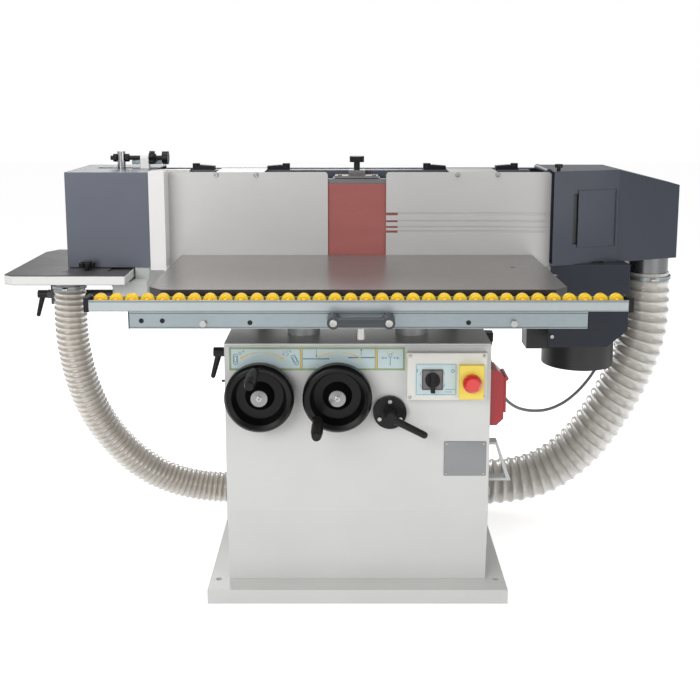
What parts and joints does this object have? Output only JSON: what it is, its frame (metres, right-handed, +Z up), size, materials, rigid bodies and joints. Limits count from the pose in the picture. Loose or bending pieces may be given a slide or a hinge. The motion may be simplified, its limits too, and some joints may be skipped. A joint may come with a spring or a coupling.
{
  "type": "edge sander",
  "caption": "Floor-standing edge sander with a horizontal belt, tilting sanding unit, lifting table and pull-out roller rail.",
  "frame": {"origin": "floor level in the centre of the four floor bolts", "axes": "+Z up, +X to the operator's right along the belt, +Y away from the operator"},
  "size_m": [1.7408, 0.8825, 1.049],
  "materials": {
    "cabinet_paint": "light grey enamel, satin",
    "cap_steel": "grey ground steel, satin",
    "dark_panel": "dark grey paint",
    "printed_plate": "printed film on aluminium",
    "box_plastic": "light cream-grey plastic, fine grain",
    "stop_yellow": "yellow plastic",
    "stop_red": "red plastic",
    "inlet_red": "red plastic",
    "bracket_grey": "light grey paint",
    "collector_grey": "blue-grey paint",
    "black_plastic": "black glass-filled plastic, fine grain",
    "trunnion_iron": "grey cast iron, machined arc",
    "table_iron": "ground cast iron, fine grinding marks",
    "saddle_iron": "dark painted cast iron",
    "shaft_steel": "ground round steel",
    "rail_aluminium": "anodised extrusion",
    "zinc": "zinc-plated steel, faint blue spangle",
    "roller_yellow": "yellow nylon",
    "handle_grey": "dark grey plastic",
    "fastener_steel": "bright zinc-plated",
    "unit_blue": "dark grey-blue enamel",
    "cover_blue": "grey-blue enamel, satin",
    "platen_steel": "ground steel",
    "abrasive": "red-brown aluminium-oxide cloth belt",
    "guard_sheet": "satin sheet aluminium",
    "cream_paint": "off-white enamel",
    "cuff_steel": "galvanised spiral cuff",
    "motor_black": "black enamel",
    "aux_laminate": "grey laminate with a white band",
    "drum_iron": "machined cast iron",
    "hose_film": "translucent beige-grey plastic with a wire helix",
    "cable_grey": "grey rubber sheath"
  },
  "bodies": {
    "cabinet": {"base_frame": "cabinet_paint", "cabinet_shell": "cabinet_paint", "cabinet_cap": "cap_steel", "side_panel": "dark_panel", "panel_plates": "printed_plate", "switch_box": "box_plastic", "estop_housing": "stop_yellow", "power_inlet": "inlet_red", "side_brackets": "bracket_grey", "dust_collector": "collector_grey", "lever_flange": "black_plastic", "tilt_brackets": "trunnion_iron", "cable_gland": "black_plastic", "left_hose": "hose_film", "right_hose": "hose_film", "motor_cable": "cable_grey"},
    "table": {"main_table": "table_iron", "table_saddle": "saddle_iron", "lift_columns": "shaft_steel"},
    "support": {"support_rods": "shaft_steel", "roller_rail": "rail_aluminium", "end_caps": "black_plastic", "roller_wheels": "roller_yellow", "support_bar": "zinc", "pull_handle": "handle_grey", "bar_fasteners": "fastener_steel"},
    "sanding_unit": {"unit_bed": "unit_blue", "platen": "platen_steel", "abrasive_belt": "abrasive", "left_cover": "cover_blue", "right_cover": "cover_blue", "rear_guard": "unit_blue", "left_panel": "guard_sheet", "right_panel": "guard_sheet", "white_post": "cream_paint", "panel_clamps": "black_plastic", "tension_block": "cream_paint", "aux_bracket": "bracket_grey", "right_cuff": "cuff_steel", "left_duct": "cuff_steel", "motor_skirt": "cover_blue", "motor": "motor_black"},
    "auxiliary_table": {"aux_table": "aux_laminate"},
    "tilt_wheel": {"tilt_wheel": "black_plastic"},
    "tilt_grip": {"tilt_grip": "black_plastic"},
    "lift_wheel": {"lift_wheel": "black_plastic"},
    "lift_grip": {"lift_grip": "black_plastic"},
    "lock_lever": {"lock_lever": "black_plastic"},
    "side_lever": {"side_lever": "black_plastic"},
    "cam_knob": {"cam_knob": "black_plastic"},
    "estop_button": {"estop_button": "stop_red"},
    "inlet_lid": {"inlet_lid": "inlet_red"},
    "drive_drum": {"drive_drum": "drum_iron"},
    "idler_drum": {"idler_drum": "drum_iron"},
    "idler_axle": {"idler_axle": "shaft_steel"},
    "tension_screw": {"tension_screw": "black_plastic"},
    "platen_knob": {"platen_knob": "black_plastic"},
    "access_door": {"access_door": "cover_blue"},
    "star_knob": {"star_knob": "black_plastic"},
    "aux_lever": {"aux_lever": "black_plastic"}
  },
  "joints": [
    {"name": "unit_tilt", "type": "hinge", "parent": "cabinet", "child": "sanding_unit", "pos_m": [0, 0.088, 0.782], "axis": [-1, 0, 0], "range_deg": [0, 45], "deforming": ["left_hose", "right_hose", "motor_cable"]},
    {"name": "table_lift", "type": "slide", "parent": "cabinet", "child": "table", "axis": [0, 0, 1], "range_m": [0, 0.12]},
    {"name": "support_pull", "type": "slide", "parent": "table", "child": "support", "axis": [0, -1, 0], "range_m": [0, 0.25]},
    {"name": "tilt_wheel_turn", "type": "hinge", "parent": "cabinet", "child": "tilt_wheel", "pos_m": [-0.226, -0.26, 0.511], "axis": [0, -1, 0], "range_deg": [0, 1080]},
    {"name": "tilt_grip_spin", "type": "hinge", "parent": "tilt_wheel", "child": "tilt_grip", "pos_m": [-0.23632, -0.28, 0.57619], "axis": [0, -1, 0], "continuous": true},
    {"name": "lift_wheel_turn", "type": "hinge", "parent": "cabinet", "child": "lift_wheel", "pos_m": [-0.047, -0.26, 0.511], "axis": [0, -1, 0], "range_deg": [0, 2160]},
    {"name": "lift_grip_spin", "type": "hinge", "parent": "lift_wheel", "child": "lift_grip", "pos_m": [-0.09116, -0.28, 0.46195], "axis": [0, -1, 0], "continuous": true},
    {"name": "lock_lever_turn", "type": "hinge", "parent": "cabinet", "child": "lock_lever", "pos_m": [0.075, -0.26, 0.465], "axis": [0, -1, 0], "range_deg": [-35, 25]},
    {"name": "side_lever_turn", "type": "hinge", "parent": "cabinet", "child": "side_lever", "pos_m": [-0.32, -0.205, 0.604], "axis": [-1, 0, 0], "range_deg": [-60, 60]},
    {"name": "cam_knob_turn", "type": "hinge", "parent": "cabinet", "child": "cam_knob", "pos_m": [0.172, -0.25, 0.549], "axis": [0, -1, 0], "range_deg": [-60, 60]},
    {"name": "estop_press", "type": "slide", "parent": "cabinet", "child": "estop_button", "axis": [0, 1, 0], "range_m": [0, 0.004]},
    {"name": "inlet_lid_turn", "type": "hinge", "parent": "cabinet", "child": "inlet_lid", "pos_m": [0.3494, -0.17, 0.539], "axis": [0, -1, 0], "range_deg": [0, 100], "stiffness_Nm_per_rad": 0.1},
    {"name": "drive_spin", "type": "hinge", "parent": "sanding_unit", "child": "drive_drum", "pos_m": [0.6, 0.1719, 0.88], "axis": [0, 0, 1], "continuous": true},
    {"name": "idler_slide", "type": "slide", "parent": "sanding_unit", "child": "idler_axle", "axis": [1, 0, 0], "range_m": [0, 0.012]},
    {"name": "idler_spin", "type": "hinge", "parent": "idler_axle", "child": "idler_drum", "pos_m": [-0.622, 0.1719, 0.88], "axis": [0, 0, 1], "continuous": true},
    {"name": "tension_turn", "type": "hinge", "parent": "idler_axle", "child": "tension_screw", "pos_m": [-0.5, 0.1719, 1.031], "axis": [1, 0, 0], "range_deg": [0, 1080]},
    {"name": "platen_knob_turn", "type": "hinge", "parent": "sanding_unit", "child": "platen_knob", "pos_m": [0, 0.145, 1], "axis": [0, 0, 1], "range_deg": [0, 360]},
    {"name": "access_door_swing", "type": "hinge", "parent": "sanding_unit", "child": "access_door", "pos_m": [0.67405, 0.10338, 0.88], "axis": [0, 0, 1], "range_deg": [0, 110]},
    {"name": "aux_slide", "type": "slide", "parent": "sanding_unit", "child": "auxiliary_table", "axis": [-1, 0, 0], "range_m": [0, 0.08]},
    {"name": "star_knob_turn", "type": "hinge", "parent": "auxiliary_table", "child": "star_knob", "pos_m": [-0.68, 0.005, 0.765], "axis": [0, 0, 1], "range_deg": [0, 360]},
    {"name": "aux_lever_turn", "type": "hinge", "parent": "auxiliary_table", "child": "aux_lever", "pos_m": [-0.86, 0.215, 0.655], "axis": [-1, 0, 0], "range_deg": [-60, 60]}
  ],
  "couplings": [
    {"joint": "tilt_wheel_turn", "follows": "unit_tilt", "ratio": 24},
    {"joint": "lift_wheel_turn", "follows": "table_lift", "rad_per_m": 314.16},
    {"joint": "tension_turn", "follows": "idler_slide", "rad_per_m": 1570.8},
    {"joint": "idler_spin", "follows": "drive_spin", "ratio": 1}
  ]
}
